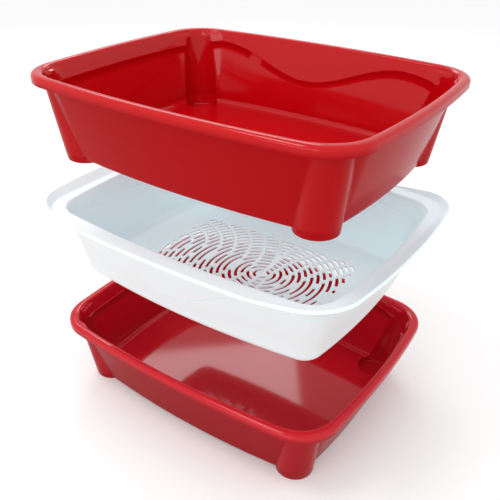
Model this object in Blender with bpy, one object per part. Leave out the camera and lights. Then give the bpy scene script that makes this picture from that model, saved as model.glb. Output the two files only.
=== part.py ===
"""Three-piece sifting tray set, lifted apart: two red trays and a white sieve.

Metres, +Z up. The long side runs along X, the short side along Y, and the set
stands on the lower tray's four feet at Z = 0. Depths are measured downwards
from a piece's own rim, and insets inwards from the trays' rim outline.
"""
import math

import bmesh
import bpy
from mathutils import Matrix, Vector

# Red trays
RIM_HALF_LENGTH = 0.240
RIM_HALF_WIDTH = 0.192
LONG_BOW = 0.016
SHORT_BOW = 0.013
RIM_CORNER_RADIUS = 0.060
RIM_ROUND = 0.004
RIM_CREST = 0.014
MOUTH_ROUND = 0.0015
LIP_DROP = 0.012
LIP_SKIN = 0.0022
LIP_EDGE = 0.0005
ROOF_DEPTH = 0.0024
WALL_DEPTH = 0.109
FOOT_DROP = 0.006
TRAY_HEIGHT = WALL_DEPTH + FOOT_DROP
WALL_INSET = 0.010
WALL_DRAFT = 0.24
WALL_CORNER_TOP = 0.056
WALL_CORNER_BASE = 0.046
UPPER_SKIN = 0.0020
LOWER_SKIN = 0.0028
FLOOR_DEPTH = 0.104
FLOOR_FILLET = 0.009
BASE_EDGE = 0.002
RECESS_INSET = 0.012
RECESS_RISE = 0.0025
FOOT_RADIUS = 0.027
FOOT_SKIN = 0.0024
FOOT_LEAN_TOP = 0.016
FOOT_LEAN_BASE = 0.0016
FOOT_TOP_DEPTH = 0.0015
STEP_DEPTH = 0.021
STEP_CREST = 0.014
STEP_LOWEST = 0.051
LIP_RIB_THICKNESS = 0.003
LIP_RIB_DROP = 0.018
LIP_RIB_OVERLAP = 0.005
LIP_RIB_CLEARANCE = 0.001

# Sieve
FLANGE_HALF_LENGTH = 0.250
FLANGE_HALF_WIDTH = 0.197
FLANGE_SHORT_BOW = 0.018
FLANGE_CORNER_RADIUS = 0.062
FLANGE_SKIN = 0.0024
FLANGE_LIP = 0.0045
FLANGE_LIP_SKIN = 0.0020
FLANGE_EDGE = 0.0012
GRIP_RISE = 0.010
GRIP_HALF_LENGTH = 0.232
GRIP_HALF_WIDTH = 0.194
GRIP_SHORT_BOW = 0.0065
GRIP_CORNER_RADIUS = 0.054
GRIP_FADE = 0.120
SIEVE_DEPTH = 0.104
SIEVE_INSET = 0.018
SIEVE_DRAFT = 0.20
SIEVE_SKIN = 0.0023
SIEVE_CORNER_TOP = 0.040
SIEVE_CORNER_BASE = 0.026
SIEVE_EDGE = 0.010
SIEVE_MOUTH_ROUND = 0.0017
SIEVE_STEP_DEPTH = 0.026
SIEVE_STEP_CREST = 0.019
SIEVE_STEP_LOWEST = 0.070

# Ledge line shared by the walls of all three pieces
LEDGE_WIDTH = 0.0008
LEDGE_FALL = 0.0003
LEDGE_CENTRE_X = -0.014
LEDGE_CREST_X = 0.150
LEDGE_END_X = 0.215

# Perforated panel in the sieve's floor
PANEL_HALF_LENGTH = 0.142
PANEL_HALF_WIDTH = 0.106
PANEL_CORNER_RADIUS = 0.030
PANEL_MARGIN = 0.003
RING_CENTRE_X = 0.029
FIRST_RING = 0.011
RING_PITCH = 0.0091
SLOT_WIDTH = 0.0048
SHORTEST_SLOT = 0.006
STRAIGHT_SLOT_ANGLE = 0.35
SLOT_SAMPLING = 0.0005
RIB_HALF_WIDTH = 0.0021
LEFT_RIB_CENTRE_X = -0.146
LEFT_RIB_RADIUS = 0.0355
LEFT_RIB_PITCH = 0.0235
RIGHT_RIB_CENTRE_X = 0.240
RIGHT_RIB_RADIUS = 0.086
RIGHT_RIB_PITCH = 0.0225

# Rim heights with the set lifted apart, and the sampling of the outlines
LOWER_RIM_Z = TRAY_HEIGHT
SIEVE_RIM_Z = 0.302
UPPER_RIM_Z = 0.488
SHORT_STEPS = 4
CORNER_STEPS = 7
LONG_STEPS = 9
FOOT_SEGMENTS = 32

# Share of a round edge's radius at its middle, and the overrun of a cutter
ROUND_MIDDLE = 1.0 - math.sqrt(0.5)
CUT_OVERRUN = 0.006


def clear_scene():
    for thing in list(bpy.data.objects):
        bpy.data.objects.remove(thing, do_unlink=True)


def new_collection(name):
    collection = bpy.data.collections.new(name)
    bpy.context.scene.collection.children.link(collection)
    return collection


def new_material(name, colour, roughness):
    material = bpy.data.materials.new(name)
    material.use_nodes = True
    shader = material.node_tree.nodes["Principled BSDF"]
    shader.inputs["Base Color"].default_value = (*colour, 1.0)
    shader.inputs["Roughness"].default_value = roughness
    shader.inputs["Metallic"].default_value = 0.0
    return material


def arc(centre, radius, start, end, steps):
    """Points of an arc, without its last one."""
    angles = [start + (end - start) * i / steps for i in range(steps)]
    return [centre + radius * Vector((math.cos(a), math.sin(a))) for a in angles]


def corner_centre(half_length, half_width, long_bow, short_bow, radius):
    """Side arc radii, and the centre of the corner arc that is tangent to both side arcs."""
    long_radius = (half_length ** 2 + long_bow ** 2) / (2.0 * long_bow)
    short_radius = (half_width ** 2 + short_bow ** 2) / (2.0 * short_bow)
    long_centre = Vector((0.0, half_width - long_radius))
    short_centre = Vector((half_length - short_radius, 0.0))
    to_short = short_centre - long_centre
    gap = to_short.length
    reach, other = long_radius - radius, short_radius - radius
    along = (reach ** 2 - other ** 2 + gap ** 2) / (2.0 * gap)
    across = math.sqrt(reach ** 2 - along ** 2)
    direction = to_short / gap
    centre = long_centre + along * direction + across * Vector((direction.y, -direction.x))
    return long_radius, short_radius, long_centre, short_centre, centre


def bowed_rectangle(half_length, half_width, long_bow, short_bow, radius):
    """A rectangle with bowed sides and round corners, anticlockwise from +X."""
    long_radius, short_radius, long_centre, short_centre, centre = corner_centre(
        half_length, half_width, long_bow, short_bow, radius)
    leave = math.atan2((centre - short_centre).y, (centre - short_centre).x)
    arrive = math.atan2((centre - long_centre).y, (centre - long_centre).x)
    quarter = arc(short_centre, short_radius, 0.0, leave, SHORT_STEPS)
    quarter += arc(centre, radius, leave, arrive, CORNER_STEPS)
    quarter += arc(long_centre, long_radius, arrive, math.pi / 2.0, LONG_STEPS)
    top = Vector((0.0, half_width))
    half = quarter + [top] + [Vector((-p.x, p.y)) for p in reversed(quarter[1:])]
    return half + [-p for p in half]


def tray_section(inset, radius):
    """The rim outline moved inwards, with its own corner radius."""
    return bowed_rectangle(RIM_HALF_LENGTH - inset, RIM_HALF_WIDTH - inset,
                           LONG_BOW, SHORT_BOW, radius)


def ring(section, depth):
    """A section at a depth, which is one value or a function of the section's point."""
    if callable(depth):
        return [Vector((p.x, p.y, -depth(p))) for p in section]
    return [Vector((p.x, p.y, -depth)) for p in section]


def ledge_line(level, crest, lowest):
    """Depth of a ledge: level round the ends, a crest and then a dip along both long walls."""
    def depth(point):
        along = abs(point.x - LEDGE_CENTRE_X)
        if abs(point.y) < RIM_HALF_WIDTH / 2.0 or along > LEDGE_END_X:
            return level
        if along > LEDGE_CREST_X:
            turn = math.pi * (along - LEDGE_CREST_X) / (LEDGE_END_X - LEDGE_CREST_X)
            return crest + (level - crest) * (1.0 - math.cos(turn)) / 2.0
        turn = math.pi * along / LEDGE_CREST_X
        return crest + (lowest - crest) * (1.0 + math.cos(turn)) / 2.0
    return depth


def loft(rings):
    """A closed solid through rings of equal length, with flat end faces."""
    mesh = bmesh.new()
    loops = [[mesh.verts.new(p) for p in points] for points in rings]
    for low, high in zip(loops, loops[1:]):
        for i in range(len(low)):
            j = (i + 1) % len(low)
            mesh.faces.new((low[i], low[j], high[j], high[i]))
    mesh.faces.new(list(reversed(loops[0])))
    mesh.faces.new(loops[-1])
    bmesh.ops.recalc_face_normals(mesh, faces=mesh.faces)
    return mesh


def place(mesh, name, collection, material=None, height=0.0):
    """Turns a bmesh into a named object with its rim at the given height."""
    data = bpy.data.meshes.new(name)
    mesh.to_mesh(data)
    mesh.free()
    thing = bpy.data.objects.new(name, data)
    thing.location = (0.0, 0.0, height)
    collection.objects.link(thing)
    if material is not None:
        data.materials.append(material)
    return thing


def combine(thing, tool, operation):
    """Adds an exact Boolean and keeps the tool as a hidden wire object."""
    modifier = thing.modifiers.new(tool.name, "BOOLEAN")
    modifier.operation = operation
    modifier.solver = "EXACT"
    modifier.object = tool
    tool.hide_render = True
    tool.display_type = "WIRE"


def wall_inset(depth):
    return WALL_INSET + WALL_DRAFT * depth


def wall_corner(depth):
    return WALL_CORNER_TOP + (WALL_CORNER_BASE - WALL_CORNER_TOP) * depth / WALL_DEPTH


def tray_outside():
    """The tray as a solid block: walls, and the rim with its hanging lip."""
    base = wall_inset(WALL_DEPTH)
    round_base = wall_corner(WALL_DEPTH)
    walls = [
        (base + RECESS_INSET + RECESS_RISE, WALL_DEPTH - RECESS_RISE, round_base - RECESS_INSET),
        (base + RECESS_INSET, WALL_DEPTH, round_base - RECESS_INSET),
        (base + BASE_EDGE, WALL_DEPTH, round_base - BASE_EDGE),
        (base, WALL_DEPTH - BASE_EDGE, round_base),
        (wall_inset(ROOF_DEPTH), ROOF_DEPTH, WALL_CORNER_TOP),
    ]
    rim = [
        (LIP_SKIN, ROOF_DEPTH),
        (LIP_SKIN, LIP_DROP),
        (LIP_EDGE, LIP_DROP),
        (0.0, LIP_DROP - LIP_EDGE),
        (0.0, RIM_ROUND),
        (ROUND_MIDDLE * RIM_ROUND, ROUND_MIDDLE * RIM_ROUND),
        (RIM_ROUND, 0.0),
        (RIM_ROUND + RIM_CREST, 0.0),
    ]
    profile = walls + [(inset, depth, RIM_CORNER_RADIUS - inset) for inset, depth in rim]
    return loft([ring(tray_section(inset, radius), depth) for inset, depth, radius in profile])


def tray_inside():
    """The hollow of the tray: a ledge dips along both long walls, and the floor edge is round."""
    ledge = ledge_line(STEP_DEPTH, STEP_CREST, STEP_LOWEST)
    foot = FLOOR_DEPTH - FLOOR_FILLET
    upper = WALL_INSET + UPPER_SKIN
    lower = WALL_INSET + LOWER_SKIN
    middle = ROUND_MIDDLE * FLOOR_FILLET

    def at_ledge(skin, drop):
        points = tray_section(WALL_INSET + skin, WALL_CORNER_TOP - skin)
        depths = [ledge(p) for p in points]
        sections = {d: tray_section(wall_inset(d) + skin, wall_corner(d) - skin) for d in set(depths)}
        return [Vector((*sections[d][i], -d - drop)) for i, d in enumerate(depths)]

    def mouth(extra):
        return ring(tray_section(upper + extra, WALL_CORNER_TOP - UPPER_SKIN - extra), extra)

    def floor_edge(extra, depth):
        radius = wall_corner(foot) - LOWER_SKIN - extra
        return ring(tray_section(lower + WALL_DRAFT * foot + extra, radius), depth)

    return loft([
        mouth(-CUT_OVERRUN),
        mouth(MOUTH_ROUND),
        at_ledge(UPPER_SKIN, 0.0),
        at_ledge(LOWER_SKIN, LEDGE_FALL),
        floor_edge(0.0, foot),
        floor_edge(middle, FLOOR_DEPTH - middle),
        floor_edge(FLOOR_FILLET, FLOOR_DEPTH),
    ])


def foot_columns(radius, top_depth, base_depth):
    """Four round corner columns that lean with the walls."""
    centre = corner_centre(RIM_HALF_LENGTH, RIM_HALF_WIDTH, LONG_BOW, SHORT_BOW,
                           RIM_CORNER_RADIUS)[-1]
    mesh = bmesh.new()
    for side_x in (-1.0, 1.0):
        for side_y in (-1.0, 1.0):
            diagonal = Vector((side_x, side_y)).normalized()
            corner = Vector((side_x * centre.x, side_y * centre.y))
            made = bmesh.ops.create_cone(
                mesh, cap_ends=True, segments=FOOT_SEGMENTS, radius1=radius, radius2=radius,
                depth=base_depth - top_depth)
            for vertex in made["verts"]:
                depth = base_depth if vertex.co.z < 0.0 else top_depth
                lean = FOOT_LEAN_TOP + (FOOT_LEAN_BASE - FOOT_LEAN_TOP) * depth / TRAY_HEIGHT
                shift = corner + lean * diagonal
                vertex.co = Vector((vertex.co.x + shift.x, vertex.co.y + shift.y, -depth))
    return mesh


def lip_ribs():
    """A short upright rib under the lip at each corner."""
    centre = corner_centre(RIM_HALF_LENGTH, RIM_HALF_WIDTH, LONG_BOW, SHORT_BOW,
                           RIM_CORNER_RADIUS)[-1]
    inner = FOOT_RADIUS + FOOT_LEAN_TOP - LIP_RIB_OVERLAP
    outer = RIM_CORNER_RADIUS - LIP_SKIN - LIP_RIB_CLEARANCE
    middle = (inner + outer) / 2.0
    size = Matrix.Diagonal((outer - inner, LIP_RIB_THICKNESS, LIP_RIB_DROP - FOOT_TOP_DEPTH, 1.0))
    mesh = bmesh.new()
    for side_x in (-1.0, 1.0):
        for side_y in (-1.0, 1.0):
            angle = math.atan2(side_y, side_x)
            spot = Vector((side_x * centre.x + middle * math.cos(angle),
                           side_y * centre.y + middle * math.sin(angle),
                           -(LIP_RIB_DROP + FOOT_TOP_DEPTH) / 2.0))
            turn = Matrix.Rotation(angle, 4, "Z")
            bmesh.ops.create_cube(mesh, size=1.0, matrix=Matrix.Translation(spot) @ turn @ size)
    return mesh


def make_tray(name, rim_height, material, parts, cutters):
    tray = place(tray_outside(), name, parts, material, rim_height)
    columns = place(foot_columns(FOOT_RADIUS, FOOT_TOP_DEPTH, TRAY_HEIGHT),
                    name + "_foot_columns", cutters, None, rim_height)
    ribs = place(lip_ribs(), name + "_lip_ribs", cutters, None, rim_height)
    hollow = place(tray_inside(), name + "_hollow", cutters, None, rim_height)
    pockets = place(foot_columns(FOOT_RADIUS - FOOT_SKIN, STEP_DEPTH, TRAY_HEIGHT - FOOT_SKIN),
                    name + "_foot_hollows", cutters, None, rim_height)
    combine(tray, columns, "UNION")
    combine(tray, ribs, "UNION")
    combine(tray, hollow, "DIFFERENCE")
    combine(tray, pockets, "DIFFERENCE")
    return tray


def sieve_section(extra, depth):
    """The sieve's wall at a depth, moved inwards by an extra inset."""
    corner = SIEVE_CORNER_TOP + (SIEVE_CORNER_BASE - SIEVE_CORNER_TOP) * depth / SIEVE_DEPTH
    return tray_section(SIEVE_INSET + SIEVE_DRAFT * depth + extra, corner - extra)


def sieve_at_step(extra, drop):
    """The wall's section along the ledge, which has another depth at each point."""
    line = ledge_line(SIEVE_STEP_DEPTH, SIEVE_STEP_CREST, SIEVE_STEP_LOWEST)
    depths = [line(p) for p in sieve_section(extra, 0.0)]
    sections = {d: sieve_section(extra, d) for d in set(depths)}
    return [Vector((*sections[d][i], -d - drop)) for i, d in enumerate(depths)]


def flange_section(inset):
    return bowed_rectangle(FLANGE_HALF_LENGTH - inset, FLANGE_HALF_WIDTH - inset, LONG_BOW,
                           FLANGE_SHORT_BOW, FLANGE_CORNER_RADIUS - inset)


def grip_section():
    """The crease of the raised grips, nearly straight across both ends."""
    return bowed_rectangle(GRIP_HALF_LENGTH, GRIP_HALF_WIDTH, LONG_BOW, GRIP_SHORT_BOW,
                           GRIP_CORNER_RADIUS)


def raised(section, amount):
    """Lifts a section's two ends for the grips, fading out along the long sides."""
    def depth(point):
        along = (abs(point.x) - GRIP_HALF_LENGTH + GRIP_FADE) / GRIP_FADE
        fade = min(max(along, 0.0), 1.0)
        return -amount * fade * fade * (3.0 - 2.0 * fade)
    return ring(section, depth)


def lowered(points, drop):
    return [p - Vector((0.0, 0.0, drop)) for p in points]


def sieve_shell():
    """One skin: the basin from its floor outwards, then round the flange and back inside."""
    edge = SIEVE_EDGE
    middle = ROUND_MIDDLE * edge
    skin = SIEVE_SKIN
    floor = SIEVE_DEPTH - skin
    outside = [
        ring(sieve_section(edge, SIEVE_DEPTH), SIEVE_DEPTH),
        ring(sieve_section(middle, SIEVE_DEPTH), SIEVE_DEPTH - middle),
        ring(sieve_section(0.0, SIEVE_DEPTH - edge), SIEVE_DEPTH - edge),
        sieve_at_step(0.0, LEDGE_FALL),
        sieve_at_step(-LEDGE_WIDTH, 0.0),
        ring(sieve_section(-LEDGE_WIDTH, FLANGE_SKIN), FLANGE_SKIN),
    ]
    flange = [
        lowered(raised(grip_section(), 0.0), FLANGE_SKIN),
        lowered(raised(flange_section(FLANGE_LIP_SKIN + LEDGE_FALL), GRIP_RISE), FLANGE_SKIN),
        lowered(raised(flange_section(FLANGE_LIP_SKIN), GRIP_RISE), FLANGE_LIP),
        lowered(raised(flange_section(0.0), GRIP_RISE), FLANGE_LIP),
        lowered(raised(flange_section(0.0), GRIP_RISE), FLANGE_EDGE),
        raised(flange_section(FLANGE_EDGE), GRIP_RISE),
        raised(grip_section(), 0.0),
    ]
    inside = [
        ring(sieve_section(skin - LEDGE_WIDTH - SIEVE_MOUTH_ROUND, 0.0), 0.0),
        ring(sieve_section(skin - LEDGE_WIDTH, SIEVE_MOUTH_ROUND), SIEVE_MOUTH_ROUND),
        sieve_at_step(skin - LEDGE_WIDTH, 0.0),
        sieve_at_step(skin, LEDGE_FALL),
        ring(sieve_section(skin, floor - edge), floor - edge),
        ring(sieve_section(skin + middle, floor), floor - middle),
        ring(sieve_section(skin + edge, floor), floor),
    ]
    return loft(outside + flange + inside)


def panel_clearance(x, y):
    """Distance from a point to the edge of the perforated panel, positive inside it."""
    over_x = abs(x) - PANEL_HALF_LENGTH + PANEL_CORNER_RADIUS
    over_y = abs(y) - PANEL_HALF_WIDTH + PANEL_CORNER_RADIUS
    outside = math.hypot(max(over_x, 0.0), max(over_y, 0.0))
    return PANEL_CORNER_RADIUS - outside - min(max(over_x, over_y), 0.0)


def rib_clearance(x, y):
    """Distance from a point to the nearest solid rib between the slots."""
    if x < RING_CENTRE_X:
        reach = math.hypot(x - LEFT_RIB_CENTRE_X, y) - LEFT_RIB_RADIUS
        pitch = LEFT_RIB_PITCH
    else:
        reach = math.hypot(x - RIGHT_RIB_CENTRE_X, y) - RIGHT_RIB_RADIUS
        pitch = RIGHT_RIB_PITCH
    offset = abs(reach - pitch * round(reach / pitch))
    return min(offset, abs(x - RING_CENTRE_X))


def slot_spans():
    """Every slot as its ring radius and its two end angles."""
    spans = []
    farthest = PANEL_HALF_LENGTH + RING_CENTRE_X + PANEL_HALF_WIDTH
    for number in range(int(farthest / RING_PITCH)):
        radius = FIRST_RING + RING_PITCH * number
        steps = int(2.0 * math.pi * radius / SLOT_SAMPLING)
        start = None
        for step in range(steps + 1):
            angle = -math.pi / 2.0 + 2.0 * math.pi * step / steps
            x = RING_CENTRE_X + radius * math.cos(angle)
            y = radius * math.sin(angle)
            is_open = (panel_clearance(x, y) > PANEL_MARGIN
                       and rib_clearance(x, y) > RIB_HALF_WIDTH)
            if is_open and start is None:
                start = angle
            elif not is_open and start is not None:
                if (angle - start) * radius >= SHORTEST_SLOT:
                    spans.append((radius, start, angle))
                start = None
    return spans


def slot_cutters():
    """Every slot as a short curved bar that passes right through the floor."""
    mesh = bmesh.new()
    top = CUT_OVERRUN - SIEVE_DEPTH
    bottom = -CUT_OVERRUN - SIEVE_DEPTH
    for radius, start, end in slot_spans():
        steps = 2 if end - start > STRAIGHT_SLOT_ANGLE else 1
        angles = [start + (end - start) * i / steps for i in range(steps + 1)]
        outer = [(radius + SLOT_WIDTH / 2.0, a) for a in angles]
        inner = [(radius - SLOT_WIDTH / 2.0, a) for a in reversed(angles)]
        flat = [Vector((RING_CENTRE_X + r * math.cos(a), r * math.sin(a), bottom))
                for r, a in outer + inner]
        face = mesh.faces.new([mesh.verts.new(p) for p in flat])
        bar = bmesh.ops.extrude_face_region(mesh, geom=[face])
        risen = [item for item in bar["geom"] if isinstance(item, bmesh.types.BMVert)]
        bmesh.ops.translate(mesh, verts=risen, vec=(0.0, 0.0, top - bottom))
    bmesh.ops.recalc_face_normals(mesh, faces=mesh.faces)
    return mesh


def make_sieve(name, rim_height, material, parts, cutters):
    sieve = place(sieve_shell(), name, parts, material, rim_height)
    slots = place(slot_cutters(), name + "_slots", cutters, None, rim_height)
    combine(sieve, slots, "DIFFERENCE")
    return sieve


clear_scene()
tray_parts = new_collection("sifting_tray_set")
tray_cutters = new_collection("cutters")
red_gloss = new_material("red_gloss_plastic", (0.48, 0.008, 0.012), 0.18)
deep_red_gloss = new_material("deep_red_gloss_plastic", (0.42, 0.010, 0.022), 0.18)
white_plastic = new_material("white_plastic", (0.83, 0.85, 0.86), 0.35)
make_tray("lower_tray", LOWER_RIM_Z, deep_red_gloss, tray_parts, tray_cutters)
make_sieve("sieve_tray", SIEVE_RIM_Z, white_plastic, tray_parts, tray_cutters)
make_tray("upper_tray", UPPER_RIM_Z, red_gloss, tray_parts, tray_cutters)
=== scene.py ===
import math

import bmesh
import bpy
import numpy as np
from mathutils import Matrix, Vector


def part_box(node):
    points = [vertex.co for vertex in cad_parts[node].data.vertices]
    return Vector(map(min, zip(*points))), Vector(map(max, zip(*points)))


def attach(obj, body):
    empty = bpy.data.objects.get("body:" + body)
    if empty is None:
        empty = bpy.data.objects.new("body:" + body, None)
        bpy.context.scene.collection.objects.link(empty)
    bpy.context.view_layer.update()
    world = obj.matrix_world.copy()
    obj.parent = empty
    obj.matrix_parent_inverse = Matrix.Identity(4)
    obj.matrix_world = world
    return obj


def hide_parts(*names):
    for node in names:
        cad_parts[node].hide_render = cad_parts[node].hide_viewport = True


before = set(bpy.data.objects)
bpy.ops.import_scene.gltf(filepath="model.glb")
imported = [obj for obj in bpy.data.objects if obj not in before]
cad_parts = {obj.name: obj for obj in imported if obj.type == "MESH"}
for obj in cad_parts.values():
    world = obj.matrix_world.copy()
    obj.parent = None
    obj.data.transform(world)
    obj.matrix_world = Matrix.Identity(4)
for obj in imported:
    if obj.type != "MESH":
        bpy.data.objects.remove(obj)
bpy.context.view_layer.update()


# The two red trays. Each is one injection moulding in glossy polypropylene: a basin under a
# rolled rim, with a ledge that waves along both long walls and four hollow round feet in the
# corners. The lower one is moulded in a slightly deeper red.

TRAY_HALF_LENGTH = 0.240
TRAY_HALF_WIDTH = 0.192
TRAY_HEIGHT = 0.115
LONG_BOW = 0.016
SHORT_BOW = 0.013
RIM_CORNER = 0.060
CROWN_REACH = 0.0056
CROWN_DROP = 0.0050
MOUTH_REACH = 0.0046
MOUTH_DROP = 0.0034
LIP_DROP = 0.012
LIP_SKIN = 0.0022
ROOF_DEPTH = 0.0024
WALL_DEPTH = 0.109
WALL_INSET = 0.010
WALL_DRAFT = 0.24
WALL_CORNER_TOP = 0.072
WALL_CORNER_BASE = 0.048
MOUTH_CORNER = 0.066
UPPER_SKIN = 0.0020
LOWER_SKIN = 0.0028
FLOOR_DEPTH = 0.104
FLOOR_FILLET = 0.009
BASE_EDGE = 0.002
RECESS_INSET = 0.012
RECESS_RISE = 0.0025
FOOT_RADIUS = 0.027
FOOT_SKIN = 0.0024
FOOT_LEAN_TOP = 0.021
FOOT_LEAN_BASE = 0.0016
COLUMN_BLEND = 0.0016
LEDGE_DEPTH = 0.021
LEDGE_CREST = 0.014
LEDGE_LOWEST = 0.051
LEDGE_FALL = 0.0003
LEDGE_BEAD = 0.0007
LEDGE_BEAD_DROP = 0.0022
LEDGE_CENTRE_X = -0.014
LEDGE_CREST_X = 0.150
LEDGE_END_X = 0.215
LUG_THICKNESS = 0.003
LUG_DROP = 0.0135
LUG_SKIN_OVERLAP = 0.0006
LUG_WALL_OVERLAP = 0.0010
STUB_EDGE = 0.0016
STUB_OVERLAP = 0.0005
POCKET_OVERLAP = 0.0010
FOOT_CLEARANCE = 0.00008
FLAT_MARGIN = 0.001
CORNER_SIGNS = ((1, 1), (-1, 1), (-1, -1), (1, -1))
SHORT_POINTS = 10
CORNER_POINTS = 44
LONG_POINTS = 22
BAR_POINTS = 96
SHARP_ANGLE = math.radians(38.0)


def side_arcs(half_length, half_width, long_bow, short_bow, corner):
    """Centre and radius of the short side's arc, of the corner's and of the long side's."""
    long_radius = (half_length ** 2 + long_bow ** 2) / (2.0 * long_bow)
    short_radius = (half_width ** 2 + short_bow ** 2) / (2.0 * short_bow)
    long_centre = np.array((0.0, half_width - long_radius))
    short_centre = np.array((half_length - short_radius, 0.0))
    gap = math.hypot(*(short_centre - long_centre))
    way = (short_centre - long_centre) / gap
    reach, other = long_radius - corner, short_radius - corner
    along = (reach ** 2 - other ** 2 + gap ** 2) / (2.0 * gap)
    across = math.sqrt(reach ** 2 - along ** 2)
    corner_centre = long_centre + along * way + across * np.array((way[1], -way[0]))
    return (short_centre, short_radius), (corner_centre, corner), (long_centre, long_radius)


def outline(half_length, half_width, long_bow, short_bow, corner):
    """Points and outward directions round a rectangle with bowed sides and round corners."""
    short, turned, long = side_arcs(half_length, half_width, long_bow, short_bow, corner)
    leave = math.atan2(*(turned[0] - short[0])[::-1])
    arrive = math.atan2(*(turned[0] - long[0])[::-1])
    pieces = (
        (short, 0.0, leave, SHORT_POINTS),
        (turned, leave, arrive, CORNER_POINTS),
        (long, arrive, math.pi / 2.0, LONG_POINTS),
    )
    points, outward = [], []
    for (centre, radius), start, end, count in pieces:
        angles = start + (end - start) * np.arange(count) / count
        way = np.stack((np.cos(angles), np.sin(angles)), axis=1)
        outward.append(way)
        points.append(centre + radius * way)

    def all_round(quarter, top):
        quarter = np.concatenate(quarter)
        half = np.concatenate((quarter, [top], quarter[:0:-1] * (-1.0, 1.0)))
        return np.concatenate((half, -half))

    return all_round(points, (0.0, half_width)), all_round(outward, (0.0, 1.0))


def rim_ring(inset, depth, corner=RIM_CORNER):
    points, _ = outline(TRAY_HALF_LENGTH - inset, TRAY_HALF_WIDTH - inset, LONG_BOW, SHORT_BOW,
                        corner - inset)
    return level_ring(points, depth)


def level_ring(points, depth):
    return np.column_stack((points, np.full(len(points), -depth)))


def foot_axis(depth):
    """Where the axis of a foot column stands at a depth: it leans with the walls."""
    corner = side_arcs(TRAY_HALF_LENGTH, TRAY_HALF_WIDTH, LONG_BOW, SHORT_BOW, RIM_CORNER)[1][0]
    lean = FOOT_LEAN_TOP + (FOOT_LEAN_BASE - FOOT_LEAN_TOP) * depth / TRAY_HEIGHT
    return corner + lean / math.sqrt(2.0)


def tray_wall(depth, skin=0.0, foot_radius=FOOT_RADIUS, drawn_in=0.0):
    """A tray's wall at a depth, pushed out over the round feet."""
    inset = WALL_INSET + WALL_DRAFT * depth + skin
    corner = WALL_CORNER_TOP + (WALL_CORNER_BASE - WALL_CORNER_TOP) * depth / WALL_DEPTH - skin
    points, outward = outline(TRAY_HALF_LENGTH - inset, TRAY_HALF_WIDTH - inset, LONG_BOW,
                              SHORT_BOW, corner)
    to_axis = foot_axis(depth) * np.sign(points) - points
    along = (to_axis * outward).sum(axis=1)
    across = to_axis[:, 0] * outward[:, 1] - to_axis[:, 1] * outward[:, 0]
    reach = along + np.sqrt(np.maximum(foot_radius ** 2 - across ** 2, 0.0))
    reach[abs(across) >= foot_radius] = -1.0
    share = np.clip(0.5 + 0.5 * reach / COLUMN_BLEND, 0.0, 1.0)
    push = reach * share + COLUMN_BLEND * share * (1.0 - share)
    return points + (push - drawn_in)[:, None] * outward


def wave(points, level, crest, lowest):
    """Depth of a ledge: level round the ends, then a crest and a long dip on the long walls."""
    along = abs(points[:, 0] - LEDGE_CENTRE_X)
    end_turn = math.pi * (along - LEDGE_CREST_X) / (LEDGE_END_X - LEDGE_CREST_X)
    ends = crest + (level - crest) * (1.0 - np.cos(end_turn)) / 2.0
    dip = crest + (lowest - crest) * (1.0 + np.cos(math.pi * along / LEDGE_CREST_X)) / 2.0
    depths = np.where(along > LEDGE_CREST_X, ends, dip)
    depths[(abs(points[:, 1]) < TRAY_HALF_WIDTH / 2.0) | (along > LEDGE_END_X)] = level
    return depths


def at_depths(section, depths):
    """A ring that runs at another depth at each of its points."""
    sections = {depth: section(depth) for depth in set(depths)}
    return np.array([(*sections[depth][i], -depth) for i, depth in enumerate(depths)])


def loft(name, rings, rim_z):
    """A closed shell through rings of equal length, with its rim at a height."""
    count = len(rings[0])
    points = np.concatenate(rings) + (0.0, 0.0, rim_z)
    faces = []
    for low in range(0, count * (len(rings) - 1), count):
        for i in range(count):
            j = (i + 1) % count
            faces.append((low + i, low + j, low + count + j, low + count + i))
    faces.append(tuple(reversed(range(count))))
    faces.append(tuple(range(count * (len(rings) - 1), count * len(rings))))
    mesh = bpy.data.meshes.new(name)
    mesh.from_pydata(points.tolist(), [], faces)
    made = bmesh.new()
    made.from_mesh(mesh)
    bmesh.ops.recalc_face_normals(made, faces=made.faces)
    made.to_mesh(mesh)
    made.free()
    return place(name, mesh)


def place(name, mesh):
    thing = bpy.data.objects.new(name, mesh)
    bpy.context.scene.collection.objects.link(thing)
    return thing


def quarter_round(across, down, steps):
    """Insets and depths of a round edge that turns from upright to level."""
    turns = [math.pi / 2.0 * i / steps for i in range(1, steps + 1)]
    return [(across * (1.0 - math.cos(t)), down * (1.0 - math.sin(t))) for t in turns]


def foot_bars(name, radius, top, base, rim_z):
    """Four round bars on the axes of the feet, with a round lower edge."""
    turns = np.linspace(0.0, 2.0 * math.pi, BAR_POINTS, endpoint=False)
    circle = np.stack((np.cos(turns), np.sin(turns)), axis=1)
    profile = [(radius, top), (radius, base - STUB_EDGE)]
    profile += [(radius - across, base - down)
                for across, down in quarter_round(STUB_EDGE, STUB_EDGE, 4)]
    bars = []
    for side in CORNER_SIGNS:
        rings = [level_ring(foot_axis(depth) * side + size * circle, depth)
                 for size, depth in profile]
        bars.append(loft(name, rings, rim_z))
    return bars


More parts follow.
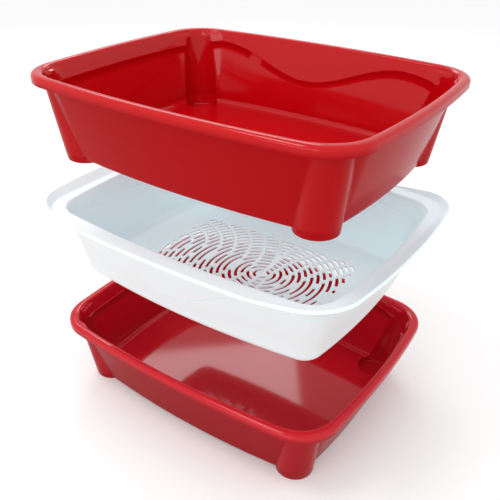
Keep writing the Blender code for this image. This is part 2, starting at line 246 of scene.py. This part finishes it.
def corner_lugs(name, rim_z):
    """The short upright lug between wall and lip at each corner."""
    corner = side_arcs(TRAY_HALF_LENGTH, TRAY_HALF_WIDTH, LONG_BOW, SHORT_BOW, RIM_CORNER)[1][0]
    diagonal = np.array((1.0, 1.0)) / math.sqrt(2.0)
    outer = RIM_CORNER - LIP_SKIN + LUG_SKIN_OVERLAP
    top, bottom = ROOF_DEPTH - LUG_SKIN_OVERLAP, LUG_DROP
    profile = [(((tray_wall(depth) - corner) @ diagonal).max() - LUG_WALL_OVERLAP, depth)
               for depth in (top, bottom)]
    profile += [(outer - 0.0030, bottom), (outer, LIP_DROP - 0.0010), (outer, top + 0.0025),
                (outer - 0.0035, top)]
    lugs = []
    for side in CORNER_SIGNS:
        way = diagonal * side
        across = np.array((-way[1], way[0])) * LUG_THICKNESS / 2.0
        faces = [[(*(corner * side + reach * way + turn * across), -depth)
                  for reach, depth in profile] for turn in (-1, 1)]
        lugs.append(loft(name, np.array(faces), rim_z))
    return lugs


def settled(thing):
    """The object with its modifiers worked into a plain mesh."""
    bpy.context.view_layer.update()
    ready = thing.evaluated_get(bpy.context.evaluated_depsgraph_get())
    mesh = bpy.data.meshes.new_from_object(ready)
    thing.modifiers.clear()
    thing.data = mesh
    mesh.name = thing.name
    return thing


def joined_or_cut(thing, tools, operation):
    """Adds the tools to a shell or cuts them out of it, and throws the tools away."""
    for tool in tools:
        work = thing.modifiers.new(tool.name, "BOOLEAN")
        work.operation = operation
        work.solver = "EXACT"
        work.object = tool
    settled(thing)
    for tool in tools:
        bpy.data.objects.remove(tool, do_unlink=True)
    return thing


def shaded(thing):
    """Smooth shading that keeps the sharp edges of the moulding."""
    thing.data.polygons.foreach_set("use_smooth", [True] * len(thing.data.polygons))
    thing.data.set_sharp_from_angle(angle=SHARP_ANGLE)
    return thing


def mould_tray(name, rim_z):
    """One red tray: outside from the underside's middle to the rim, and back down inside."""
    recess = [(RECESS_INSET + RECESS_RISE + FLAT_MARGIN, WALL_DEPTH - RECESS_RISE),
              (RECESS_INSET + RECESS_RISE, WALL_DEPTH - RECESS_RISE),
              (RECESS_INSET, WALL_DEPTH)]
    rings = [level_ring(tray_wall(WALL_DEPTH, inset, 0.0), depth) for inset, depth in recess]
    for inset, depth in reversed(quarter_round(BASE_EDGE, BASE_EDGE, 4)):
        ring = tray_wall(WALL_DEPTH, drawn_in=inset)
        rings.append(level_ring(ring, WALL_DEPTH - depth))
    for depth in np.linspace(WALL_DEPTH - BASE_EDGE, ROOF_DEPTH, 26):
        rings.append(level_ring(tray_wall(depth), depth))
    lip = [(LIP_SKIN, ROOF_DEPTH), (LIP_SKIN, LIP_DROP - 0.0008),
           (LIP_SKIN - 0.0004, LIP_DROP - 0.0002), (LIP_SKIN - 0.0009, LIP_DROP),
           (0.0009, LIP_DROP), (0.0003, LIP_DROP - 0.0003), (0.0, LIP_DROP - 0.0010),
           (0.0, CROWN_DROP + 0.0020), (0.0, CROWN_DROP)]
    lip += quarter_round(CROWN_REACH, CROWN_DROP, 8)
    rings += [rim_ring(inset, depth) for inset, depth in lip]
    mouth = WALL_INSET + UPPER_SKIN
    turned_in = quarter_round(MOUTH_REACH, MOUTH_DROP, 7)
    for across, depth in [*reversed(turned_in), (0.0, MOUTH_DROP)]:
        rings.append(rim_ring(mouth - across, depth, MOUTH_CORNER))

    inner_foot = FOOT_RADIUS - FOOT_SKIN
    top = tray_wall(0.0, UPPER_SKIN, 0.0)
    ledge = wave(top, LEDGE_DEPTH, LEDGE_CREST, LEDGE_LOWEST)
    wall_foot = FLOOR_DEPTH - FLOOR_FILLET
    for share in (0.2, 0.45, 0.7, 1.0):
        depths = np.round(MOUTH_DROP + (ledge - MOUTH_DROP) * share, 7)
        rings.append(at_depths(lambda d: tray_wall(d, UPPER_SKIN, inner_foot), depths))
    bead = np.round(ledge + LEDGE_FALL, 7)
    for drop in (0.0, LEDGE_BEAD_DROP / 2.0):
        rings.append(at_depths(lambda d: tray_wall(d, LOWER_SKIN + LEDGE_BEAD, inner_foot),
                               np.round(bead + drop, 7)))
    bead = bead + LEDGE_BEAD_DROP
    for share in (0.0, 0.15, 0.3, 0.45, 0.6, 0.75, 0.9, 1.0):
        depths = np.round(bead + (wall_foot - bead) * share, 7)
        rings.append(at_depths(lambda d: tray_wall(d, LOWER_SKIN, inner_foot), depths))
    for inset, depth in quarter_round(FLOOR_FILLET, FLOOR_FILLET, 8):
        ring = tray_wall(wall_foot, LOWER_SKIN, inner_foot, inset)
        rings.append(level_ring(ring, FLOOR_DEPTH - depth))
    flat = tray_wall(wall_foot, LOWER_SKIN, inner_foot, FLOOR_FILLET + FLAT_MARGIN)
    rings.append(level_ring(flat, FLOOR_DEPTH))

    tray = loft(name, rings, rim_z)
    stubs = foot_bars("stub", FOOT_RADIUS - FOOT_CLEARANCE, FLOOR_DEPTH + STUB_OVERLAP,
                      TRAY_HEIGHT, rim_z)
    joined_or_cut(tray, stubs + corner_lugs("lug", rim_z), "UNION")
    pockets = foot_bars("pocket", inner_foot - FOOT_CLEARANCE, wall_foot - POCKET_OVERLAP,
                        TRAY_HEIGHT - FOOT_SKIN, rim_z)
    return shaded(joined_or_cut(tray, pockets, "DIFFERENCE"))


# How sharply the painted shade turns into painted light as a surface turns upwards.
TURN_SHARPNESS = 2.2
RED_BUMP = 0.22
RED_RELIEF = 0.0006


class Wire:
    """A shader socket that adds, subtracts and multiplies like a number."""

    def __init__(self, paint, socket):
        self.paint, self.socket = paint, socket

    def worked(self, operation, first, second):
        return self.paint.node("ShaderNodeMath", {"operation": operation}, {0: first, 1: second})

    def __add__(self, other):
        return self.worked("ADD", self, other)

    def __radd__(self, other):
        return self.worked("ADD", other, self)

    def __sub__(self, other):
        return self.worked("SUBTRACT", self, other)

    def __rsub__(self, other):
        return self.worked("SUBTRACT", other, self)

    def __mul__(self, other):
        return self.worked("MULTIPLY", self, other)

    def __rmul__(self, other):
        return self.worked("MULTIPLY", other, self)


class Paint:
    """A material whose nodes are added one by one."""

    def __init__(self, name):
        self.material = bpy.data.materials.new(name)
        self.material.use_nodes = True
        self.tree = self.material.node_tree
        self.shader = self.tree.nodes["Principled BSDF"]
        self.place = self.node("ShaderNodeTexCoord", {}, {}, "Object")

    def node(self, kind, settings, inputs, output=0):
        made = self.tree.nodes.new(kind)
        for setting, value in settings.items():
            setattr(made, setting, value)
        for socket, value in inputs.items():
            self.feed(made.inputs[socket], value)
        return Wire(self, made.outputs[output])

    def feed(self, socket, value):
        if isinstance(value, Wire):
            self.tree.links.new(value.socket, socket)
        else:
            socket.default_value = value

    def noise(self, scale, detail, place=None):
        sockets = {"Vector": place or self.place, "Scale": scale, "Detail": detail}
        return self.node("ShaderNodeTexNoise", {}, sockets, "Fac")

    def stretched(self, scale, turn):
        turned = {"Vector": self.place, "Scale": scale, "Rotation": turn}
        return self.node("ShaderNodeMapping", {}, turned)

    def mixed(self, factor, first, second):
        ends = [end if isinstance(end, Wire) else (*end, 1.0) for end in (first, second)]
        return self.node("ShaderNodeMix", {"data_type": "RGBA"},
                         {0: factor, 6: ends[0], 7: ends[1]}, 2)

    def upward(self):
        """0 on walls that face a little down, as the outsides do, and 1 on what faces up."""
        # The mask puts painted shade on what faces down and painted light on what faces up.
        facing = self.node("ShaderNodeNewGeometry", {}, {}, "Normal")
        height = self.node("ShaderNodeSeparateXYZ", {}, {"Vector": facing}, "Z")
        return self.node("ShaderNodeClamp", {}, {"Value": 0.5 + TURN_SHARPNESS * height})

    def finish(self, **sockets):
        for socket, value in sockets.items():
            self.feed(self.shader.inputs[socket.replace("_", " ")], value)
        return self.material


def moulded_plastic(name, outside, inside):
    """Glossy moulded plastic: cloudy colour, flow ripples, fine skin and faint rub marks.
    Walls that face outwards and down get a deeper red, a painted shade, and are duller; what
    faces up gets a lighter red, a painted light. The painted shade holds back the white floor's
    reflection; neither is a known property of the plastic."""
    paint = Paint(name)
    cloud = paint.noise(7.0, 3.0)
    flow = paint.noise(16.0, 2.0, paint.stretched((1.0, 1.0, 0.25), (0.3, 0.2, 0.5)))
    skin = paint.noise(900.0, 2.0)
    ripple = paint.noise(34.0, 1.0)
    rubs = paint.noise(60.0, 4.0, paint.stretched((1.0, 9.0, 4.0), (0.1, 0.2, 0.7)))
    # up is the mask of the painted shade and painted light, and it also sets the coat.
    up = paint.upward()
    shade = 0.65 * cloud + 0.35 * flow
    # The first mix is the red in painted shade, for what faces down, and the second the red in
    # painted light, for what faces up.
    outer, lit_tone = (
        paint.mixed(shade, [0.94 * c for c in colour], [1.06 * c for c in colour])
        for colour in (outside, inside))
    rough = 0.12 + 0.05 * (cloud - 0.5) + 0.06 * rubs * flow + 0.03 * skin
    height = 0.80 * ripple + 0.20 * flow + 0.015 * skin
    bump = paint.node("ShaderNodeBump", {},
                      {"Strength": RED_BUMP, "Distance": RED_RELIEF, "Height": height}, "Normal")
    return paint.finish(Base_Color=paint.mixed(up, outer, lit_tone), Roughness=rough, Normal=bump,
                        Specular_IOR_Level=0.02, Coat_Weight=0.08 + 0.52 * up,
                        Coat_Roughness=0.07)


def finish_tray(name, material):
    """A finished tray in the place of the plain one, riding on the body of its own name."""
    tray = mould_tray(name + "_moulding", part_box(name)[1].z)
    tray.data.materials.clear()
    tray.data.materials.append(material)
    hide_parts(name)
    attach(tray, name)
    return tray


# Each tray's first colour is its red in painted shade, for walls that face down, and the second
# its red in painted light, for what faces up.
upper_tray = finish_tray("upper_tray", moulded_plastic(
    "red_gloss_plastic", (0.375, 0.0010, 0.0030), (0.540, 0.0015, 0.0045)))
lower_tray = finish_tray("lower_tray", moulded_plastic(
    "deep_red_gloss_plastic", (0.300, 0.0030, 0.0070), (0.560, 0.0080, 0.0180)))


# The sieve. One injection moulding in white polypropylene: a basin that hangs by its flange,
# with the flange raised into a grip at both ends, and rings of short curved slots in its
# floor between solid ribs.

FLANGE_HALF_LENGTH = 0.250
FLANGE_HALF_WIDTH = 0.197
FLANGE_SHORT_BOW = 0.018
FLANGE_CORNER = 0.062
FLANGE_SKIN = 0.0024
FLANGE_LIP = 0.0045
FLANGE_LIP_SKIN = 0.0020
FLANGE_EDGE = 0.0020
FLANGE_LIP_EDGE = 0.0005
GRIP_RISE = 0.010
GRIP_HALF_LENGTH = 0.232
GRIP_HALF_WIDTH = 0.194
GRIP_SHORT_BOW = 0.0065
GRIP_CORNER = 0.054
GRIP_FADE = 0.120
SIEVE_DEPTH = 0.104
SIEVE_INSET = 0.018
SIEVE_DRAFT = 0.20
SIEVE_SKIN = 0.0023
SIEVE_CORNER_TOP = 0.040
SIEVE_CORNER_BASE = 0.026
SIEVE_EDGE = 0.010
SIEVE_MOUTH_ROUND = 0.0030
SIEVE_LEDGE_DEPTH = 0.026
SIEVE_LEDGE_CREST = 0.019
SIEVE_LEDGE_LOWEST = 0.070
SIEVE_LEDGE_WIDTH = 0.0010
GROOVE_WIDTH = 0.0020
GROOVE_DEPTH = 0.0012
PANEL_HALF_LENGTH = 0.142
PANEL_HALF_WIDTH = 0.106
PANEL_CORNER = 0.030
PANEL_MARGIN = 0.003
RING_CENTRE_X = 0.029
FIRST_RING = 0.011
RING_PITCH = 0.0091
SLOT_WIDTH = 0.0048
SHORTEST_SLOT = 0.006
SLOT_SEARCH_STEP = 0.0005
SLOT_SEGMENT = 0.007
SLOT_BAR_HEIGHT = 0.030
RIB_HALF_WIDTH = 0.0021
LEFT_RIBS = (-0.146, 0.0355, 0.0235)
RIGHT_RIBS = (0.240, 0.086, 0.0225)


def sieve_wall(depth, extra=0.0):
    """The sieve's wall at a depth; extra moves it inwards."""
    corner = SIEVE_CORNER_TOP + (SIEVE_CORNER_BASE - SIEVE_CORNER_TOP) * depth / SIEVE_DEPTH
    inset = SIEVE_INSET + SIEVE_DRAFT * depth + extra
    return outline(TRAY_HALF_LENGTH - inset, TRAY_HALF_WIDTH - inset, LONG_BOW, SHORT_BOW,
                   corner - extra)[0]


def flange(inset, drop):
    """The flange's edge, lifted at both ends for the grips."""
    points, _ = outline(FLANGE_HALF_LENGTH - inset, FLANGE_HALF_WIDTH - inset, LONG_BOW,
                        FLANGE_SHORT_BOW, FLANGE_CORNER - inset)
    share = (abs(points[:, 0]) - GRIP_HALF_LENGTH + GRIP_FADE) / GRIP_FADE
    share = np.clip(share, 0.0, 1.0)
    return np.column_stack((points, GRIP_RISE * share * share * (3.0 - 2.0 * share) - drop))


def between(first, second, share):
    return first + (second - first) * share


def mould_sieve(name, rim_z):
    """The sieve's skin: from under its floor outwards, round the flange and back inside."""
    floor = SIEVE_DEPTH - SIEVE_SKIN
    rings = [level_ring(sieve_wall(SIEVE_DEPTH, SIEVE_EDGE + FLAT_MARGIN), SIEVE_DEPTH)]
    for inset, depth in reversed(quarter_round(SIEVE_EDGE, SIEVE_EDGE, 8)):
        rings.append(level_ring(sieve_wall(SIEVE_DEPTH - SIEVE_EDGE, inset), SIEVE_DEPTH - depth))
    base = SIEVE_DEPTH - SIEVE_EDGE
    ledge = np.round(wave(sieve_wall(0.0), SIEVE_LEDGE_DEPTH, SIEVE_LEDGE_CREST,
                          SIEVE_LEDGE_LOWEST), 7)
    rings.append(level_ring(sieve_wall(base), base))
    groove = ledge + GROOVE_WIDTH
    for share in (0.35, 0.7, 1.0):
        rings.append(at_depths(sieve_wall, np.round(base + (groove - base) * share, 7)))
    for drop in (GROOVE_WIDTH - LEDGE_FALL, LEDGE_FALL):
        rings.append(at_depths(lambda d: sieve_wall(d, GROOVE_DEPTH), np.round(ledge + drop, 7)))
    for share in (0.0, 0.4, 0.8, 1.0):
        depths = np.round(ledge + (FLANGE_SKIN - ledge) * share, 7)
        rings.append(at_depths(lambda d: sieve_wall(d, -SIEVE_LEDGE_WIDTH), depths))
    crease = level_ring(outline(GRIP_HALF_LENGTH, GRIP_HALF_WIDTH, LONG_BOW, GRIP_SHORT_BOW,
                                GRIP_CORNER)[0], 0.0)
    under = crease - (0.0, 0.0, FLANGE_SKIN)
    lip_inside = flange(FLANGE_LIP_SKIN, FLANGE_SKIN)
    rings += [under, between(under, lip_inside, 0.5), lip_inside,
              flange(FLANGE_LIP_SKIN, FLANGE_LIP - FLANGE_LIP_EDGE),
              flange(FLANGE_LIP_SKIN - FLANGE_LIP_EDGE, FLANGE_LIP),
              flange(FLANGE_LIP_EDGE, FLANGE_LIP), flange(0.0, FLANGE_LIP - FLANGE_LIP_EDGE),
              flange(0.0, FLANGE_EDGE)]
    rings += [flange(inset, depth) for inset, depth in
              quarter_round(FLANGE_EDGE, FLANGE_EDGE, 5)]
    edge = rings[-1]
    mouth = level_ring(sieve_wall(0.0, SIEVE_SKIN - SIEVE_LEDGE_WIDTH - SIEVE_MOUTH_ROUND), 0.0)
    rings += [between(edge, crease, share) for share in (0.4, 0.8, 0.94)]
    rings += [between(crease, mouth, share) for share in (0.12, 0.6)]
    for inset, depth in reversed(quarter_round(SIEVE_MOUTH_ROUND,
                                               SIEVE_MOUTH_ROUND, 6)):
        rings.append(level_ring(sieve_wall(0.0, SIEVE_SKIN - SIEVE_LEDGE_WIDTH - inset), depth))
    for share in (0.0, 0.35, 0.7, 1.0):
        depths = np.round(SIEVE_MOUTH_ROUND + (ledge - SIEVE_MOUTH_ROUND) * share, 7)
        rings.append(at_depths(lambda d: sieve_wall(d, SIEVE_SKIN - SIEVE_LEDGE_WIDTH), depths))
    foot = floor - SIEVE_EDGE
    for share in (0.0, 0.35, 0.7, 1.0):
        depths = np.round(ledge + LEDGE_FALL + (foot - ledge - LEDGE_FALL) * share, 7)
        rings.append(at_depths(lambda d: sieve_wall(d, SIEVE_SKIN), depths))
    for inset, depth in quarter_round(SIEVE_EDGE, SIEVE_EDGE, 8):
        rings.append(level_ring(sieve_wall(foot, SIEVE_SKIN + inset), floor - depth))
    rings.append(level_ring(sieve_wall(foot, SIEVE_SKIN + SIEVE_EDGE + FLAT_MARGIN), floor))
    return loft(name, rings, rim_z)


def is_slotted(x, y):
    """Whether the floor is open here: inside the panel and away from every solid rib."""
    over_x = abs(x) - PANEL_HALF_LENGTH + PANEL_CORNER
    over_y = abs(y) - PANEL_HALF_WIDTH + PANEL_CORNER
    outside = math.hypot(max(over_x, 0.0), max(over_y, 0.0))
    inside = PANEL_CORNER - outside - min(max(over_x, over_y), 0.0)
    centre, first, pitch = LEFT_RIBS if x < RING_CENTRE_X else RIGHT_RIBS
    reach = math.hypot(x - centre, y) - first
    rib = min(abs(reach - pitch * round(reach / pitch)), abs(x - RING_CENTRE_X))
    return inside > PANEL_MARGIN and rib > RIB_HALF_WIDTH


def slot_lines(depth):
    """The centre lines of the slots, as chains of edges at one depth."""
    points, edges = [], []
    farthest = PANEL_HALF_LENGTH + RING_CENTRE_X + PANEL_HALF_WIDTH
    for number in range(int(farthest / RING_PITCH)):
        radius = FIRST_RING + RING_PITCH * number
        steps = int(2.0 * math.pi * radius / SLOT_SEARCH_STEP)
        turns = [-math.pi / 2.0 + 2.0 * math.pi * i / steps for i in range(steps + 1)]
        start = None
        for turn in turns:
            is_open = is_slotted(RING_CENTRE_X + radius * math.cos(turn), radius * math.sin(turn))
            if is_open and start is None:
                start = turn
            elif not is_open and start is not None:
                length = (turn - start) * radius
                if length >= SHORTEST_SLOT:
                    for angle in slot_turns(start, turn, length, radius):
                        points.append((RING_CENTRE_X + radius * math.cos(angle),
                                       radius * math.sin(angle), -depth))
                        edges.append((len(points) - 1, len(points)))
                    edges.pop()
                start = None
    return points, edges


def slot_turns(start, end, length, radius):
    """Angles along a slot: close together at its round ends, and wider apart between them."""
    half = SLOT_WIDTH / 2.0
    close = [0.0, 0.12 * half, 0.45 * half, half]
    middle = max(int((length - SLOT_WIDTH) / SLOT_SEGMENT), 1)
    lengths = close + [half + (length - SLOT_WIDTH) * i / middle for i in range(1, middle)]
    lengths += [length - s for s in reversed(close)]
    return [start + s / radius for s in lengths]


def slot_bar_tree(material):
    """Turns the centre lines into bars with round ends, to cut the slots with."""
    tree = bpy.data.node_groups.new("slot_bars", "GeometryNodeTree")
    for label, kind in (("Lines", "NodeSocketGeometry"), ("Slot Width", "NodeSocketFloat"),
                        ("Bar Height", "NodeSocketFloat")):
        tree.interface.new_socket(label, in_out="INPUT", socket_type=kind)
    tree.interface.new_socket("Bars", in_out="OUTPUT", socket_type="NodeSocketGeometry")

    def node(kind, settings, inputs):
        made = tree.nodes.new(kind)
        for setting, value in settings.items():
            setattr(made, setting, value)
        for socket, value in inputs.items():
            if isinstance(value, bpy.types.NodeSocket):
                tree.links.new(value, made.inputs[socket])
            else:
                made.inputs[socket].default_value = value
        return made

    def maths(operation, *values):
        return node("ShaderNodeMath", {"operation": operation}, dict(enumerate(values))).outputs[0]

    given = node("NodeGroupInput", {}, {})
    lines = node("GeometryNodeMeshToCurve", {}, {"Mesh": given.outputs["Lines"]})
    total = node("GeometryNodeSplineLength", {}, {}).outputs["Length"]
    along = node("GeometryNodeSplineParameter", {}, {}).outputs["Length"]
    to_end = maths("MINIMUM", along, maths("SUBTRACT", total, along))
    half = maths("MULTIPLY", given.outputs["Slot Width"], 0.5)
    left = maths("SUBTRACT", 1.0, maths("DIVIDE", to_end, half))
    held = maths("MINIMUM", maths("MAXIMUM", left, 0.0), 0.95)
    share = maths("SQRT", maths("SUBTRACT", 1.0, maths("MULTIPLY", held, held)))
    sized = node("GeometryNodeSetCurveRadius", {},
                 {"Curve": lines.outputs["Curve"], "Radius": share})
    upright = node("GeometryNodeSetCurveNormal", {"mode": "Z_UP"},
                   {"Curve": sized.outputs["Curve"]})
    bar = node("GeometryNodeCurvePrimitiveQuadrilateral", {"mode": "RECTANGLE"},
               {"Width": given.outputs["Slot Width"], "Height": given.outputs["Bar Height"]})
    radius = node("GeometryNodeInputRadius", {}, {}).outputs[0]
    swept = node("GeometryNodeCurveToMesh", {},
                 {"Curve": upright.outputs["Curve"], "Profile Curve": bar.outputs["Curve"],
                  "Scale": radius, "Fill Caps": True})
    plain = node("GeometryNodeRealizeInstances", {}, {"Geometry": swept.outputs["Mesh"]})
    painted = node("GeometryNodeSetMaterial", {},
                   {"Geometry": plain.outputs["Geometry"], "Material": material})
    node("NodeGroupOutput", {}, {"Bars": painted.outputs["Geometry"]})
    return tree


def slot_bars(name, rim_z, material):
    """The bars that cut the slots, as one plain mesh that passes through the floor."""
    points, edges = slot_lines(SIEVE_DEPTH)
    mesh = bpy.data.meshes.new(name)
    mesh.from_pydata([(x, y, z + rim_z) for x, y, z in points], edges, [])
    bars = place(name, mesh)
    work = bars.modifiers.new(name, "NODES")
    work.node_group = slot_bar_tree(material)
    sizes = {"Slot Width": SLOT_WIDTH, "Bar Height": SLOT_BAR_HEIGHT}
    for item in work.node_group.interface.items_tree:
        if item.item_type == "SOCKET" and item.in_out == "INPUT" and item.name in sizes:
            work[item.identifier] = sizes[item.name]
    settled(bars)
    made = bmesh.new()
    made.from_mesh(bars.data)
    bmesh.ops.recalc_face_normals(made, faces=made.faces)
    made.to_mesh(bars.data)
    made.free()
    return bars


def white_plastic():
    """Satin white plastic: cool cloudy white, a soft skin and faint rub marks. What faces down
    is a greyer white, a painted shade; what faces up is lighter and bluer and glows a little, a
    painted light that makes up for the upper tray's shade and red reflection."""
    paint = Paint("white_plastic")
    cloud = paint.noise(9.0, 3.0)
    skin = paint.noise(1100.0, 2.0)
    rubs = paint.noise(55.0, 4.0, paint.stretched((8.0, 1.0, 3.0), (0.2, 0.1, 0.4)))
    up = paint.upward()
    # The first mix is the white in painted shade, for what faces down, the second the white in
    # painted light, for what faces up.
    outer = paint.mixed(cloud, (0.715, 0.730, 0.740), (0.745, 0.760, 0.770))
    lit_tone = paint.mixed(cloud, (0.860, 0.935, 0.960), (0.890, 0.955, 0.975))
    # The glow on what faces up is painted light; the plastic gives off no light.
    painted_glow = paint.mixed(up, (0.0, 0.0, 0.0), (0.080, 0.155, 0.170))
    rough = 0.30 + 0.07 * (cloud - 0.5) + 0.08 * rubs
    height = 0.85 * paint.noise(30.0, 1.0) + 0.02 * skin
    bump = paint.node("ShaderNodeBump", {},
                      {"Strength": 0.18, "Distance": 0.0005, "Height": height}, "Normal")
    return paint.finish(Base_Color=paint.mixed(up, outer, lit_tone), Roughness=rough, Normal=bump,
                        Emission_Color=painted_glow, Emission_Strength=1.0)


white = white_plastic()
sieve_rim_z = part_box("sieve_tray")[1].z - GRIP_RISE
sieve = mould_sieve("sieve_tray_moulding", sieve_rim_z)
joined_or_cut(sieve, [slot_bars("slot_bars", sieve_rim_z, white)], "DIFFERENCE")
sieve.data.materials.clear()
sieve.data.materials.append(white)
shaded(sieve)
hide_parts("sieve_tray")
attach(sieve, "sieve_tray")


# The stand-in studio: a plain white floor that gives off a little light of its own, a pale
# surround and three large soft lights, with the camera above the near corner of the set.

FLOOR_REACH = 9.0
FLOOR_GLOW = 0.10
SURROUND_STRENGTH = 0.90
WHITE = (1.0, 1.0, 1.0, 1.0)

floor_mesh = bpy.data.meshes.new("studio_floor")
floor_mesh.from_pydata(
    [(-FLOOR_REACH, -FLOOR_REACH, 0.0), (FLOOR_REACH, -FLOOR_REACH, 0.0),
     (FLOOR_REACH, FLOOR_REACH, 0.0), (-FLOOR_REACH, FLOOR_REACH, 0.0)], [], [(0, 1, 2, 3)])
studio_floor = place("studio_floor", floor_mesh)
floor_paint = Paint("studio_white")
floor_mesh.materials.append(floor_paint.finish(
    Base_Color=floor_paint.mixed(floor_paint.noise(2.0, 2.0), (0.93, 0.93, 0.93),
                                 (0.95, 0.95, 0.95)),
    Roughness=0.9, Specular_IOR_Level=0.1, Emission_Color=WHITE, Emission_Strength=FLOOR_GLOW))

world = bpy.data.worlds.new("studio")
bpy.context.scene.world = world
world.use_nodes = True
surround = world.node_tree.nodes["Background"]
surround.inputs["Color"].default_value = WHITE
surround.inputs["Strength"].default_value = SURROUND_STRENGTH
bpy.context.scene.view_settings.view_transform = "Standard"


def soft_light(name, spot, aim, size, power):
    light = bpy.data.lights.new(name, "AREA")
    light.shape = "RECTANGLE"
    light.size, light.size_y = size
    light.energy = power
    lamp = bpy.data.objects.new(name, light)
    bpy.context.scene.collection.objects.link(lamp)
    lamp.location = spot
    lamp.rotation_euler = (Vector(aim) - Vector(spot)).to_track_quat("-Z", "Y").to_euler()


set_middle = Vector((0.0, 0.0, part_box("upper_tray")[1].z / 2.0))
soft_light("top_softbox", (-0.6, -0.8, 2.3), set_middle, (0.7, 0.45), 9.0)
soft_light("back_softbox", (-1.25, 1.25, 1.65), set_middle, (1.3, 0.4), 8.0)
soft_light("front_softbox", (0.1, -2.1, 1.25), set_middle, (1.6, 0.8), 8.0)

CAMERA_TURN = math.radians(35.665)
CAMERA_RISE = math.radians(33.516)
CAMERA_ROLL = math.radians(0.548)
CAMERA_AIM = Vector((0.0415, -0.0961, 0.2269))
CAMERA_DISTANCE = 0.85
CAMERA_LENS = 45.61
CAMERA_SENSOR = 36.0
CAMERA_SHIFT = (0.04, 0.08)

back = Vector((math.sin(CAMERA_TURN) * math.cos(CAMERA_RISE),
               -math.cos(CAMERA_TURN) * math.cos(CAMERA_RISE), math.sin(CAMERA_RISE)))
camera_data = bpy.data.cameras.new("camera")
camera_data.lens = CAMERA_LENS
camera_data.sensor_width = CAMERA_SENSOR
camera_data.shift_x, camera_data.shift_y = CAMERA_SHIFT
camera = bpy.data.objects.new("camera", camera_data)
bpy.context.scene.collection.objects.link(camera)
camera.location = CAMERA_AIM + CAMERA_DISTANCE * back
facing = back.to_track_quat("Z", "Y").to_matrix().to_4x4()
camera.rotation_euler = (facing @ Matrix.Rotation(CAMERA_ROLL, 4, "Z")).to_euler()
bpy.context.scene.camera = camera


bpy.context.view_layer.update()
